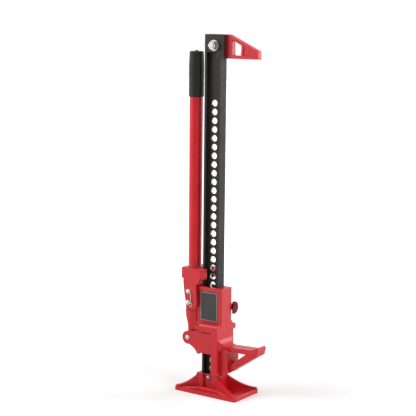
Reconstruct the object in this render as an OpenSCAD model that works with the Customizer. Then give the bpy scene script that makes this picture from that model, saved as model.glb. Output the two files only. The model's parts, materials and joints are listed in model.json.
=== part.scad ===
// High lift jack that climbs a punched I-section rack.
// Frame: origin at the underside of the base below the rack, +Z up the rack,
// +X towards the lifting nose, +Y to the side with the climbing pins and the reversing latch.

/* [Rack] */
// rack width from back flange to front flange
rack_w = 48; // [40:0.5:60]
// rack depth across the flanges
rack_d = 26; // [20:0.5:34]
// thickness of each flange
flange_t = 6; // [4:0.5:8]
// thickness of the punched web
web_t = 5; // [4:0.5:8]
// height of the rack's lower end above the ground
rack_foot = 14; // [10:0.5:20]
// height of the rack's upper end
rack_top = 910; // [700:1:1250]
// diameter of the punched holes
hole_d = 16.5; // [14:0.5:20]
// spacing of the punched holes
hole_pitch = 22; // [20:0.5:28]
// height of the lowest hole, which takes the foot bolt
hole_first = 36; // [30:0.5:44]
// length without holes at the rack's upper end
plain_top = 160; // [120:1:220]

/* [Base] */
// base length along the load direction
plate_len = 188; // [140:1:240]
// base width
plate_wid = 110; // [90:1:160]
// shift of the base towards the nose
plate_shift = 13; // [0:1:30]
// thickness of the dished floor
floor_t = 6; // [4:0.5:12]
// height of the rim around the dished floor
rim_top = 10; // [7:0.5:16]
// width of the rim
rim_w = 6; // [4:0.5:12]
// corner radius of the base
plate_r = 6; // [3:0.5:12]
// tower length along the load direction
tower_len = 68; // [60:1:90]
// tower width
tower_wid = 44; // [38:1:60]
// tower height
tower_top = 46.5; // [42:0.5:70]
// width of the bolt recess in each tower side
recess_w = 28; // [20:1:36]
// depth of the bolt recess
recess_d = 5.5; // [3:0.5:7]
// thickness of the four corner ribs
rib_t = 7; // [5:0.5:10]
// height of a rib's ridge at the plate corner
rib_low = 14; // [10:0.5:20]
// height of a rib's ridge at the tower
rib_high = 45.5; // [36:0.5:60]
// size of the fillets at the foot of the ribs and the tower
foot_fillet = 3.5; // [2:0.5:3.5]
// diameter of the two ground bolt holes
ground_hole_d = 13; // [9:0.5:18]
// ground hole position ahead of the rack
ground_front = 62; // [50:1:80]
// ground hole position behind the rack
ground_back = 52; // [45:1:60]

/* [Bolts] */
// shank diameter of the foot bolt and the clamp bolt
bolt_d = 12; // [10:0.5:14]
// hexagon size across flats
hex_af = 19; // [16:0.5:22]
// hexagon nut and head height
hex_h = 9.5; // [7:0.5:12]
// washer diameter
washer_d = 27; // [22:0.5:32]
// washer thickness
washer_t = 2.5; // [1.5:0.25:4]
// radius of the domed heads
dome_r = 7; // [6:0.25:9]
// height of the domed heads
dome_h = 4.5; // [3:0.25:6]
// thread standing proud of a nut
thread_proud = 2; // [1:0.25:5]

/* [Top clamp] */
// distance of the clamp bolt below the rack's upper end
clamp_drop = 27; // [20:0.5:34]
// clamp bolt position ahead of the rack axis
clamp_x = 7; // [0:0.5:10]
// clamp length down the rack
jaw_h = 59; // [50:0.5:70]
// length of the cheeks down the rack
cheek_h = 44; // [38:0.5:48]
// thickness of the clamp cheeks
cheek_t = 3.2; // [2:0.2:5]
// rear end of the clamp cheeks behind the rack axis
cheek_back = 21.5; // [15:0.5:24]
// front of the saddle ahead of the rack axis
saddle_front = 36; // [32:0.5:44]
// jaw thickness
jaw_t = 14; // [10:0.5:20]
// front of the jaw ahead of the rack axis
jaw_front = 130; // [100:1:160]
// height of the jaw's front end
jaw_tip_h = 20; // [14:0.5:30]
// flat on top of the jaw at its root
jaw_root = 8; // [4:0.5:14]
// depth of the jaw's teeth
tooth_h = 2; // [1:0.25:4]
// length of one jaw tooth
tooth_l = 9; // [6:0.5:14]
// rail below the jaw's window
jaw_rail = 8.5; // [6:0.5:12]
// beam above the jaw's window
jaw_beam = 9; // [6:0.5:14]
// rear edge of the jaw's window ahead of the rack axis
window_back = 54; // [48:0.5:60]
// front edge of the jaw's window ahead of the rack axis
window_front = 81; // [70:0.5:100]
// rear edge of the jaw's sunk panel ahead of the rack axis
panel_back = 86; // [75:0.5:108]
// depth of the jaw's sunk panel on each face
jaw_sink = 2; // [1:0.25:4]
// wall ahead of the jaw's sunk panel
jaw_wall = 8; // [5:0.5:14]

/* [Large runner] */
// sliding clearance on the rack and between the castings
slide_gap = 0.4; // [0.3:0.05:0.8]
// front of the upper box ahead of the rack axis
box_front = 42; // [36:0.5:50]
// wall behind the rack
back_wall = 18; // [12:0.5:20]
// half width of the upper box
box_half = 21.5; // [19:0.5:22.5]
// top of the upper box
box_top = 274; // [250:1:300]
// top of the sloping shoulder
shoulder_top = 196; // [188:1:205]
// foot of the sloping shoulder
shoulder_low = 173; // [165:1:184]
// half width over the legs
leg_half = 36.5; // [32:0.5:44]
// inner half width between the legs
leg_in = 25.5; // [23:0.5:30]
// lower edge of the skirt above the small runner
skirt_low = 160; // [150:1:164]
// rear face of the legs ahead of the rack axis
leg_back = 19.5; // [15:0.5:26]
// front face of the legs and of the lower wall
leg_front = 39; // [36:0.5:46]
// lower end of the legs
leg_low = 52; // [50.5:0.5:60]
// thickness of the front wall between the legs
front_wall = 4; // [3:0.5:8]
// height of the guide bar across the foot of the legs
guide_h = 16; // [10:0.5:24]
// rear end of the skirt's wide part behind the rack axis
skirt_back = 18; // [10:0.5:24]
// half width of the skirt's narrow rear part
skirt_rear_half = 24; // [22.6:0.1:26]
// length of the skirt's plan chamfer
skirt_chamfer = 22; // [12:0.5:30]
// depth of the name plate recess
plate_sink = 2.5; // [1:0.25:4]
// rim above the name plate recess
recess_rim = 9; // [6:0.5:16]
// rim behind the name plate recess
recess_back = 4.5; // [3:0.5:8]
// rim ahead of the name plate recess
recess_front = 3.5; // [2:0.5:8]
// lower edge of the name plate recess
recess_low = 181; // [176:0.5:190]

/* [Nose] */
// half width of the lifting nose
nose_half = 17.5; // [14:0.5:24]
// half width of the brace below the nose
brace_half = 16; // [9:0.5:17]
// height of the nose's lifting face at its root
nose_z = 127; // [120:0.5:140]
// rise of the lifting face to the lip
nose_rise = 3; // [0:0.5:6]
// nose depth
nose_h = 10.5; // [8:0.5:14]
// start of the lip ahead of the rack axis
lip_x = 129; // [110:1:140]
// reach of the nose ahead of the rack axis
nose_reach = 151; // [130:1:180]
// height of the lip above the lifting face
lip_h = 8.5; // [4:0.5:12]
// radius at the root of the nose
root_r = 21.5; // [12:0.5:28]
// half width of the brace's upright
upright_half = 25; // [18:0.5:30]
// front of the brace's upright ahead of the rack axis
upright_front = 63; // [56:0.5:70]
// height of the brace's upper face at the upright
brace_high = 79.5; // [75:0.5:95]
// height of the brace's lower corner
brace_low = 63; // [55:0.5:70]
// slope of the brace's upper face, rise over run
brace_slope = 0.75; // [0.5:0.01:0.8]

/* [Handle linkage] */
// distance of the pivot pin behind the rack axis
pivot_x = 57; // [52:0.5:64]
// height of the pivot pin
pivot_z = 229; // [220:0.5:240]
// crank length from the pivot pin to the shear bolt
crank = 28.5; // [24:0.5:34]
// distance of the pitman pin behind the rack axis
pitman_x = 62; // [56:0.5:70]
// height of the pitman pin
pitman_z = 135; // [125:0.5:145]
// diameter of the pivot pin and the pitman pin
pin_d = 10; // [8:0.5:12]
// diameter of the shear bolt
shear_d = 12; // [8:0.5:14]
// radial running clearance of pins in their bores
pin_gap = 0.06; // [0.02:0.01:0.1]
// radius of the runner's ears around the pivot pin
ear_r = 13; // [11:0.5:16]
// inner face of the ears from the middle plane
ear_in = 10; // [9:0.25:12]
// half thickness of the pitman
pitman_half = 8.5; // [6:0.25:9]
// width of the pitman's bowed bar
pitman_w = 13; // [10:0.5:16]
// bow of the pitman behind the pivot pin
pitman_bow = 14; // [12:0.5:18]
// clear radius around the pitman pin in the open pivot
open_gap = 5.6; // [5.4:0.1:7]
// radius of the pitman's upper eye
upper_eye_r = 11; // [9.5:0.5:13]
// wall of the pitman's lower eye
lower_eye_wall = 5; // [4:0.5:7]
// radius of the small runner's ears
small_ear_r = 17; // [15:0.5:20]
// half width over the small runner's ears
small_ear_half = 24; // [22:0.5:26]

/* [Handle] */
// inner face of the socket's cheeks from the middle plane
fork_in = 23; // [22.8:0.1:25]
// radius of the cheeks' lobe ahead of the pivot pin
lobe_front_r = 16; // [13:0.5:17]
// outer face of the socket's cheeks
fork_out = 30; // [28:0.5:34]
// lower face of the socket block
block_low = 291; // [284:0.5:295]
// top of the socket block
block_top = 319.5; // [305:0.5:330]
// rear of the socket block behind the rack axis
block_back = 78; // [72:0.5:82]
// front of the socket block behind the rack axis
block_front = 34; // [30:0.5:40]
// front end of the fork lugs behind the rack axis
lug_end = 10; // [0:0.5:14]
// start of the fork lugs' taper behind the rack axis
lug_bend = 22; // [18:0.5:30]
// inner face of the fork lugs
lug_in = 14.2; // [13.6:0.1:16]
// outer face of the fork lugs at their ends
lug_out = 24; // [18:0.5:28]
// height of the fork lugs
lug_h = 26; // [16:0.5:30]
// distance of the handle axis behind the rack axis
tube_x = 58; // [54:0.5:64]
// handle tube diameter
tube_d = 33.7; // [28:0.1:36]
// handle tube wall
tube_wall = 2.6; // [2:0.1:4]
// lower end of the handle tube
tube_low = 326; // [320:1:340]
// top of the grip
grip_top = 867; // [700:1:1200]
// grip length
grip_len = 114; // [90:1:160]
// grip diameter
grip_d = 38; // [37:0.25:46]
// thickness of the grip's closed end
grip_cap = 5; // [3:0.5:10]
// length of the spigot inside the tube
spigot_len = 80; // [40:1:120]

/* [Small runner] */
// lower edge of the small runner
small_low = 104; // [98:0.5:110]
// gap between the runners with the handle up
runner_gap = 2.5; // [1:0.25:4]
// half width of the small runner's body
small_half = 34; // [30:0.5:36]
// front of the small runner's wide body ahead of the rack axis
small_wide_front = 18.5; // [14:0.5:24]
// front of the small runner
small_front = 34; // [31:0.5:34.4]
// rear of the small runner's wide body behind the rack axis
small_wide_back = 20; // [12:0.5:26]
// length of the small runner's plan chamfer
small_chamfer = 20; // [12:0.5:28]
// rear face of the small runner's back wall
small_back = 36; // [33:0.5:42]
// radius of the lobe under the small runner
lobe_r = 7; // [5:0.5:9]

/* [Climbing pins] */
// diameter of the climbing pins
climb_d = 14; // [12:0.5:16]
// reach of an engaged pin past the middle plane
climb_reach = 4; // [3:0.25:6]
// travel of a climbing pin
climb_travel = 8; // [7:0.25:10]
// collar position of an engaged pin from the middle plane
collar_y = 30; // [28:0.5:34]
// collar thickness
collar_t = 3; // [2:0.25:5]
// collar radius
collar_r = 8.8; // [8:0.1:10]
// diameter of a pin's tail
tail_d = 9; // [7:0.5:11]
// inner face of the spring cage's end
cage_y = 52; // [48:0.5:58]
// thickness of the cage strap
cage_t = 3; // [2:0.25:4]
// inner half width of the cage
cage_half = 13; // [11:0.5:15]
// width of the cage strap
cage_w = 16; // [12:0.5:20]
// cross pin diameter
cross_d = 4; // [3:0.25:6]
// cross pin length
cross_len = 36; // [24:1:44]
// seat of the upper pin outside the box
seat_h = 4.5; // [3:0.25:7]
// radius of the pin seats
seat_r = 16; // [14:0.5:18]
// spring wire diameter
wire_d = 1.4; // [1:0.1:1.8]
// mean radius of the springs
coil_r = 6.9; // [6:0.1:8]
// curls in each spring
coil_n = 5; // [4:1:6]

/* [Reversing latch] */
// height of the latch axis
latch_z = 219; // [212:0.5:222]
// latch axis from the middle plane
latch_y = 30.5; // [28:0.5:36]
// latch shaft diameter
latch_d = 10; // [8:0.5:12]
// radius of the latch's thumb plate
thumb_r = 16; // [12:0.5:20]
// thickness of the thumb plate
thumb_t = 4; // [3:0.25:6]
// flat of the thumb plate from the latch axis
thumb_flat = 6.5; // [4:0.25:9]
// rear end of the latch lug ahead of the rack axis
latch_lug_back = 20.5; // [19:0.5:26]
// front end of the latch lug ahead of the rack axis
latch_lug_front = 33; // [28:0.5:38]
// thickness of the latch finger
finger_t = 3; // [2:0.25:4]
// reach of the latch finger from the latch axis
finger_reach = 25; // [18:0.5:26]

/* [Cotter] */
// wire diameter of the hairpin cotter
cotter_d = 1.8; // [1.4:0.1:2.4]
// ring radius of the hairpin cotter
cotter_r = 4.2; // [3:0.1:6]
// length of the hairpin's leg
cotter_leg = 27; // [20:0.5:32]

/* [Hidden] */
half_w = rack_w / 2;
half_d = rack_d / 2;
hole_count = floor((rack_top - plain_top - hole_first) / hole_pitch) + 1;
clamp_z = rack_top - clamp_drop;
clamp_low = rack_top - jaw_h;
cheek_low = rack_top - cheek_h;
upper_z = hole_first + 8 * hole_pitch;
lower_z = hole_first + 4 * hole_pitch;
top_hole_z = hole_first + (hole_count - 1) * hole_pitch;
shear_z = pivot_z + crank;
small_top = skirt_low - runner_gap;
box_back = half_w + slide_gap + back_wall;
front_in = leg_front - front_wall;
grip_low = grip_top - grip_len;
bore_d = bolt_d + 4 * pin_gap;
cheek_out = half_d + slide_gap + cheek_t;
open_r = pin_d / 2 + open_gap;
lower_eye_r = open_r + lower_eye_wall;
window_floor = clamp_low + jaw_rail;
jaw_slope = (jaw_h - jaw_tip_h) / (jaw_front - saddle_front - jaw_root);
latch_back = latch_lug_back - slide_gap - finger_t;
tau = 360;
pin_facets = 32;
hole_facets = 24;
echo("top hole height", top_hole_z);

// a box between two corners
module slab(x0, x1, y0, y1, z0, z1) {
    translate([x0, y0, z0])
        cube([x1 - x0, y1 - y0, z1 - z0]);
}
// a rod along Y from y0 to y1
module rod_y(x, z, r, y0, y1, facets = pin_facets) {
    translate([x, y1, z])
        rotate([90, 0, 0])
            cylinder(r = r, h = y1 - y0, $fn = facets);
}
// a rod along X from x0 to x1
module rod_x(y, z, r, x0, x1, facets = pin_facets) {
    translate([x0, y, z])
        rotate([0, 90, 0])
            cylinder(r = r, h = x1 - x0, $fn = facets);
}
// an outline drawn in X and Z, thick from y0 to y1
module side_plate(y0, y1) {
    translate([0, y1, 0])
        rotate([90, 0, 0])
            linear_extrude(y1 - y0)
                children();
}
// an outline drawn in Y and Z, long from x0 to x1
module front_plate(x0, x1) {
    translate([x0, 0, 0])
        rotate([90, 0, 90])
            linear_extrude(x1 - x0)
                children();
}
// a hexagon prism along Y
module hex_y(x, z, y0, y1) {
    translate([x, y1, z])
        rotate([90, 0, 0])
            cylinder(d = hex_af / cos(tau / 12), h = y1 - y0, $fn = 6);
}
// a domed head at y0 that stands towards -Y
module dome_near(x, z, y0) {
    translate([x, y0, z])
        rotate([90, 0, 0])
            rotate_extrude($fn = pin_facets)
                polygon(concat([[0, 0]], [for (i = [0:6])
                    [dome_r * cos(i * 15), dome_h * sin(i * 15)]]));
}
// the rack's sliding envelope
module rack_way(z0, z1) {
    slab(-half_w - slide_gap, half_w + slide_gap, -half_d - slide_gap, half_d + slide_gap,
        z0, z1);
}

module rack_bar() {
    color([0.1, 0.1, 0.1])
        difference() {
            translate([0, 0, rack_foot])
                linear_extrude(rack_top - rack_foot)
                    union() {
                        square([rack_w, web_t], center = true);
                        for (s = [-1, 1])
                            translate([s * (half_w - flange_t / 2), 0])
                                square([flange_t, rack_d], center = true);
                    }
            for (k = [0:hole_count - 1])
                rod_y(0, hole_first + k * hole_pitch, hole_d / 2, -web_t, web_t, hole_facets);
            rod_y(clamp_x, clamp_z, bore_d / 2, -web_t, web_t);
        }
}

// one corner rib, ending at a plate corner
module corner_rib(cx, cy, tx, ty) {
    run = norm([cx - tx, cy - ty]);
    steps = 8;
    translate([tx, ty, 0])
        rotate([0, 0, atan2(cy - ty, cx - tx)])
            rotate([90, 0, 0])
                translate([0, 0, -rib_t / 2])
                    linear_extrude(rib_t)
                        polygon(concat([[-rib_t, 0], [-rib_t, rib_high]],
                            [for (i = [0:steps]) [run * i / steps,
                                rib_low + (rib_high - rib_low) * pow(1 - i / steps, 1.8)]],
                            [[run, 0]]));
    // sloping fillet along both sides of its foot
    foot = rib_t / 2 + foot_fillet;
    translate([tx, ty, floor_t])
        rotate([0, 0, atan2(cy - ty, cx - tx)])
            front_plate(-rib_t / 3, run - rib_t / 4)
                polygon([[-foot - floor_t / 3, -floor_t / 3], [-rib_t / 4, foot - rib_t / 4],
                    [rib_t / 4, foot - rib_t / 4], [foot + floor_t / 3, -floor_t / 3]]);
}

// section of the tower's fillets; its slopes run on a little inside the tower and the floor
module foot_section(half) {
    low = half + foot_fillet + floor_t / 2;
    high = half - rib_t / 5;
    polygon([[-low, floor_t / 2], [-high, floor_t / 2 + low - high],
        [high, floor_t / 2 + low - high], [low, floor_t / 2]]);
}

// sloping fillet round the foot of the tower, mitred at its corners
module tower_foot() {
    intersection() {
        front_plate(-tower_len, tower_len)
            foot_section(tower_wid / 2);
        side_plate(-tower_wid, tower_wid)
            foot_section(tower_len / 2);
    }
}

module plate_outline(inset) {
    hull()
        for (sx = [-1, 1], sy = [-1, 1])
            translate([plate_shift + sx * (plate_len / 2 - plate_r),
                sy * (plate_wid / 2 - plate_r)])
                circle(r = plate_r - inset, $fn = 24);
}

module base_plate() {
    back = plate_len / 2 - plate_shift - rib_t / 2;
    front = plate_len / 2 + plate_shift - rib_t / 2;
    side = plate_wid / 2 - rib_t / 2;
    tx = tower_len / 2 - rib_t / 2;
    ty = tower_wid / 2 - rib_t / 2;
    color([0.75, 0.08, 0.1])
        difference() {
            union() {
                linear_extrude(floor_t)
                    plate_outline(0);
                difference() {
                    linear_extrude(rim_top)
                        plate_outline(0);
                    translate([plate_shift, 0, floor_t + rim_top / 2])
                        cube([plate_len - 2 * rim_w, plate_wid - 2 * rim_w, rim_top],
                            center = true);
                }
                slab(-tower_len / 2, tower_len / 2, -tower_wid / 2, tower_wid / 2,
                    0, tower_top);
                tower_foot();
                intersection() {
                    union() {
                        for (sy = [-1, 1]) {
                            corner_rib(-back, sy * side, -tx, sy * ty);
                            corner_rib(front, sy * side, tx, sy * ty);
                        }
                    }
                    linear_extrude(tower_top)
                        plate_outline(0);
                }
            }
            rack_way(rack_foot, 2 * tower_top);
            for (s = [-1, 1])
                slab(-recess_w / 2, recess_w / 2,
                    s > 0 ? tower_wid / 2 - recess_d : -tower_wid,
                    s > 0 ? tower_wid : recess_d - tower_wid / 2, rim_top, 2 * tower_top);
            rod_y(0, hole_first, bore_d / 2, -tower_wid, tower_wid);
            for (x = [ground_front, -ground_back])
                translate([x, 0, -floor_t])
                    cylinder(d = ground_hole_d, h = 4 * floor_t, $fn = pin_facets);
        }
}

module foot_bolt() {
    seat = tower_wid / 2 - recess_d;
    color([0.85, 0.84, 0.8])
        union() {
            rod_y(0, hole_first, bolt_d / 2, -seat, seat + hex_h + thread_proud);
            dome_near(0, hole_first, -seat);
        }
}

module foot_nut() {
    seat = tower_wid / 2 - recess_d;
    color([0.85, 0.84, 0.8])
        difference() {
            hex_y(0, hole_first, seat, seat + hex_h);
            rod_y(0, hole_first, bolt_d / 2 + pin_gap, 0, 2 * tower_wid);
        }
}

module clamp_saddle() {
    color([0.1, 0.1, 0.1])
        difference() {
            union() {
                slab(-cheek_back, saddle_front, -cheek_out, cheek_out, cheek_low, rack_top);
                slab(half_w - 2 * flange_t, saddle_front, -cheek_out, cheek_out,
                    clamp_low, cheek_low);
            }
            rack_way(0, 2 * rack_top);
            rod_y(clamp_x, clamp_z, bore_d / 2, -rack_w, rack_w);
        }
}

module clamp_jaw() {
    teeth = floor((jaw_front - saddle_front) / tooth_l);
    beam_z = rack_top - jaw_beam - jaw_slope * (window_back - saddle_front - jaw_root);
    beam_end = beam_z - jaw_slope * (window_front - window_back - tooth_h);
    panel_end = jaw_front - jaw_wall;
    panel_high = beam_z - jaw_slope * (panel_back - window_back);
    panel_low = beam_z - jaw_slope * (panel_end - window_back);
    color([0.75, 0.08, 0.1])
        difference() {
            side_plate(-jaw_t / 2, jaw_t / 2)
                difference() {
                    polygon(concat([[saddle_front, rack_top], [saddle_front + jaw_root, rack_top],
                        [jaw_front, clamp_low + jaw_tip_h]],
                        [for (i = [0:2 * teeth]) [jaw_front - i * tooth_l / 2,
                            clamp_low + (i % 2 == 0 ? 0 : tooth_h)]],
                        [[saddle_front, clamp_low + tooth_h]]));
                    polygon([[window_back, window_floor + tooth_h], [window_back, beam_z],
                        [window_front - tooth_h, beam_end],
                        [window_front, beam_end - 2 * tooth_h],
                        [window_front - tooth_h, window_floor],
                        [window_back + tooth_h, window_floor]]);
                }
            // shallow panel ahead of the window, on both faces
            for (s = [-1, 1])
                side_plate(s > 0 ? jaw_t / 2 - jaw_sink : -jaw_t,
                    s > 0 ? jaw_t : jaw_sink - jaw_t / 2)
                    polygon([[panel_back, window_floor], [panel_back, panel_high],
                        [panel_end, panel_low], [panel_end, window_floor]]);
        }
}

module clamp_bolt() {
    seat = cheek_out + washer_t;
    color([0.85, 0.84, 0.8])
        union() {
            rod_y(clamp_x, clamp_z, bolt_d / 2, -seat - hex_h - thread_proud, seat);
            hex_y(clamp_x, clamp_z, seat, seat + hex_h);
        }
}

module clamp_nut() {
    seat = cheek_out + washer_t;
    color([0.88, 0.87, 0.82])
        difference() {
            hex_y(clamp_x, clamp_z, -seat - hex_h, -seat);
            rod_y(clamp_x, clamp_z, bolt_d / 2 + pin_gap, -rack_w * 2, rack_w);
        }
}

module clamp_washer(side) {
    near = side < 0 ? -cheek_out - washer_t : cheek_out;
    color([0.88, 0.87, 0.82])
        difference() {
            rod_y(clamp_x, clamp_z, washer_d / 2, near, near + washer_t);
            rod_y(clamp_x, clamp_z, bolt_d / 2 + pin_gap, -rack_w * 2, rack_w * 2);
        }
}

module clamp_washer_near() {
    clamp_washer(-1);
}

module clamp_washer_far() {
    clamp_washer(1);
}

// outline of the nose in X and Z
module nose_outline() {
    tip_z = nose_z + nose_rise;
    cz = nose_z + root_r;
    cx = leg_front + root_r;
    polygon(concat([[front_in, cz]],
        [for (i = [0:6]) [cx - root_r * cos(i * 15), cz - root_r * sin(i * 15)]],
        [[lip_x, tip_z], [nose_reach - lip_h / 2, tip_z + lip_h],
            [nose_reach, tip_z + lip_h / 2], [nose_reach - lip_h / 2, nose_z - nose_h],
            [front_in, nose_z - nose_h]]));
}

// outline of the upright and the slanting brace in X and Z
module brace_outline() {
    under = nose_z - nose_h;
    run = (under - brace_high) / brace_slope;
    polygon([[front_in, nose_z], [front_in, leg_low], [upright_front, brace_low - flange_t / 2],
        [nose_reach - lip_h / 2, under], [nose_reach - lip_h / 2, under + lip_h / 2],
        [upright_front + run, under + lip_h / 2], [upright_front + run, under],
        [upright_front, brace_high], [upright_front, nose_z]]);
}

// skirt outline in plan
module skirt_plan(rear, wide_back, chamfer, narrow, wide, front) {
    polygon([[-rear, -narrow], [-wide_back - chamfer, -narrow], [-wide_back, -wide],
        [front, -wide], [front, wide], [-wide_back, wide], [-wide_back - chamfer, narrow],
        [-rear, narrow]]);
}

// the runner's ear outline around the pivot pin
module ear_outline() {
    union() {
        translate([-pivot_x, pivot_z])
            circle(r = ear_r, $fn = 48);
        polygon([[-pivot_x, pivot_z + ear_r], [-half_w - slide_gap, box_top - 2 * ear_r],
            [-half_w - slide_gap, skirt_low], [-pivot_x + ear_r / 2, skirt_low],
            [-pivot_x, pivot_z - 3 * ear_r], [-pivot_x - ear_r, pivot_z - 2 * ear_r],
            [-pivot_x - ear_r, pivot_z]]);
    }
}

// the pad outside one ear, tapered below and run into the box in plan
module ear_pad(s) {
    pad_top = pivot_z - 1.6 * ear_r;
    pad_back = -pivot_x - ear_r / 2;
    pad_front = recess_back - box_back;
    intersection() {
        side_plate(s > 0 ? ear_in : -fork_out, s > 0 ? fork_out : -ear_in)
            polygon([[pad_back, pad_top], [pad_front, pad_top], [pad_front, skirt_low],
                [pad_back + ear_r, skirt_low], [pad_back + ear_r / 2, skirt_low + ear_r],
                [pad_back, pad_top - ear_r]]);
        translate([0, 0, skirt_low])
            linear_extrude(pad_top - skirt_low)
                polygon([[pad_back, 0], [pad_back, s * fork_out],
                    [-pivot_x + ear_r / 2, s * fork_out], [pad_front, s * box_half],
                    [pad_front, 0]]);
    }
}

// section of the shoulder, which swells smoothly from the box to the legs
module shoulder_section() {
    side = [for (i = [0:8]) [box_half + (leg_half - box_half) * (1 - cos(i * tau / 16)) / 2,
        shoulder_top - (shoulder_top - shoulder_low) * i / 8]];
    polygon(concat([for (q = side) [-q[0], q[1]]],
        [[-leg_half, skirt_low], [leg_half, skirt_low]], [for (i = [8:-1:0]) side[i]]));
}

// plan of the nose, which flares to the full width of the front wall at its root
module nose_plan() {
    side = [for (i = [0:6]) [leg_front + root_r * (1 - cos(i * 15)),
        nose_half + (leg_half - nose_half) * (1 - sin(i * 15))]];
    polygon(concat([[front_in, -leg_half]], [for (q = side) [q[0], -q[1]]],
        [[nose_reach + lip_h, -nose_half], [nose_reach + lip_h, nose_half]],
        [for (i = [6:-1:0]) side[i]], [[front_in, leg_half]]));
}

module large_runner() {
    color([0.75, 0.08, 0.1])
        difference() {
            union() {
                side_plate(-box_half, box_half)
                    polygon([[-box_back, skirt_low], [leg_front, skirt_low],
                        [leg_front, shoulder_low], [box_front, shoulder_top],
                        [box_front, box_top], [-box_back, box_top]]);
                // shoulder and skirt over the small runner
                front_plate(-skirt_back, leg_front)
                    shoulder_section();
                translate([0, 0, skirt_low])
                    linear_extrude(shoulder_low - skirt_low)
                        skirt_plan(box_back, skirt_back, skirt_chamfer / 2, skirt_rear_half,
                            leg_half, leg_front);
                // legs, front wall and guide bar
                for (s = [-1, 1])
                    slab(leg_back, leg_front, s > 0 ? leg_in : -leg_half,
                        s > 0 ? leg_half : -leg_in, leg_low, shoulder_low);
                slab(front_in, leg_front, -leg_half, leg_half, leg_low, shoulder_low);
                slab(half_w + slide_gap, front_in + front_wall / 2, -leg_in - front_wall,
                    leg_in + front_wall, leg_low, leg_low + guide_h);
                intersection() {
                    side_plate(-leg_half, leg_half)
                        nose_outline();
                    linear_extrude(box_top)
                        nose_plan();
                }
                side_plate(-brace_half, brace_half)
                    brace_outline();
                side_plate(-upright_half, upright_half)
                    polygon([[front_in, nose_z - nose_h / 2], [front_in, leg_low],
                        [upright_front, brace_low - flange_t / 2],
                        [upright_front, nose_z - nose_h / 2]]);
                // ears with their outer pads
                for (s = [-1, 1]) {
                    side_plate(s > 0 ? ear_in : -box_half, s > 0 ? box_half : -ear_in)
                        ear_outline();
                    ear_pad(s);
                }
                // far side: pin seat, latch lug and clip lug
                rod_y(0, upper_z, seat_r, box_half - seat_h, box_half + seat_h);
                slab(latch_lug_back, latch_lug_front, 0, latch_y, latch_z - latch_d,
                    latch_z + latch_d);
                rod_x(latch_y, latch_z, latch_d, latch_lug_back, latch_lug_front);
                slab(leg_front - 2 * front_wall, leg_front, 0, leg_half + latch_d,
                    skirt_low + front_wall / 2, shoulder_low + front_wall / 2);
            }
            rack_way(shoulder_low - 2 * rack_w, 2 * box_top);
            // room for the small runner between the legs
            slab(-2 * rack_w, leg_back, -2 * leg_half, 2 * leg_half, 0, skirt_low);
            slab(0, front_in, -leg_in, leg_in, leg_low + guide_h, skirt_low);
            // near side recess behind the name plate
            slab(recess_back - box_back, box_front - recess_front, -2 * leg_half,
                plate_sink - box_half, recess_low, box_top - recess_rim);
            rod_y(-pivot_x, pivot_z, pin_d / 2 + pin_gap, -2 * fork_out, 2 * fork_out);
            rod_y(0, upper_z, climb_d / 2 + pin_gap, 0, 2 * fork_out);
            rod_x(latch_y, latch_z, latch_d / 2 + pin_gap, seat_r, 2 * leg_front);
        }
}

module pivot_pin() {
    color([0.88, 0.86, 0.8])
        union() {
            rod_y(-pivot_x, pivot_z, pin_d / 2, -fork_out - slide_gap, fork_out + dome_h);
            dome_near(-pivot_x, pivot_z, -fork_out - slide_gap);
            rod_y(-pivot_x, pivot_z, dome_r, fork_out + slide_gap, fork_out + dome_h);
        }
}

module pivot_cotter() {
    cx = -pivot_x + pin_d / 2 + cotter_r;
    cz = pivot_z - cotter_r;
    color([0.88, 0.86, 0.8])
        translate([cx, -fork_out - dome_h / 2, cz])
            rotate([90, 0, 0])
                union() {
                    rotate_extrude($fn = 24)
                        translate([cotter_r, 0])
                            circle(d = cotter_d, $fn = 12);
                    rotate([-90, 0, 0])
                        translate([0, 0, cotter_r])
                            cylinder(d = cotter_d, h = cotter_leg, $fn = 12);
                }
}

// the strap that holds a climbing spring
module spring_cage(z, y0) {
    difference() {
        union() {
            for (s = [-1, 1])
                slab(s > 0 ? cage_half : -cage_half - cage_t,
                    s > 0 ? cage_half + cage_t : -cage_half, y0, cage_y + cage_t,
                    z - cage_w / 2, z + cage_w / 2);
            slab(-cage_half, cage_half, cage_y, cage_y + cage_t, z - cage_w / 2,
                z + cage_w / 2);
        }
        rod_y(0, z, tail_d / 2 + pin_gap, 0, 2 * cage_y);
    }
}

// a climbing pin, its collar and its tail, with its tip at y
module climbing_pin(z, y) {
    collar = y + climb_reach + collar_y;
    chamfer = climb_d / 8;
    difference() {
        union() {
            translate([0, y, z])
                rotate([-90, 0, 0])
                    cylinder(d1 = climb_d - 2 * chamfer, d2 = climb_d, h = chamfer,
                        $fn = pin_facets);
            rod_y(0, z, climb_d / 2, y + chamfer, collar);
            rod_y(0, z, collar_r, collar, collar + collar_t);
            rod_y(0, z, tail_d / 2, collar + collar_t, collar + collar_t + cage_y - collar_y
                + cross_d * 3);
        }
        rod_x(cross_y(y), z, cross_d / 2, -climb_d, climb_d, 16);
    }
}

function cross_y(y) = y + climb_reach + cage_y + cage_t + cross_d;

module cross_pin(z, y) {
    rod_x(cross_y(y), z, cross_d / 2, -cross_len / 2, cross_len / 2, 16);
}

// one unbroken coil along Y from y0 to y1
function coil_point(a, y0, y1) = [coil_r * cos(a), y0 + wire_d / 2
    + (y1 - y0 - wire_d) * a / (tau * coil_n), coil_r * sin(a)];

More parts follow.
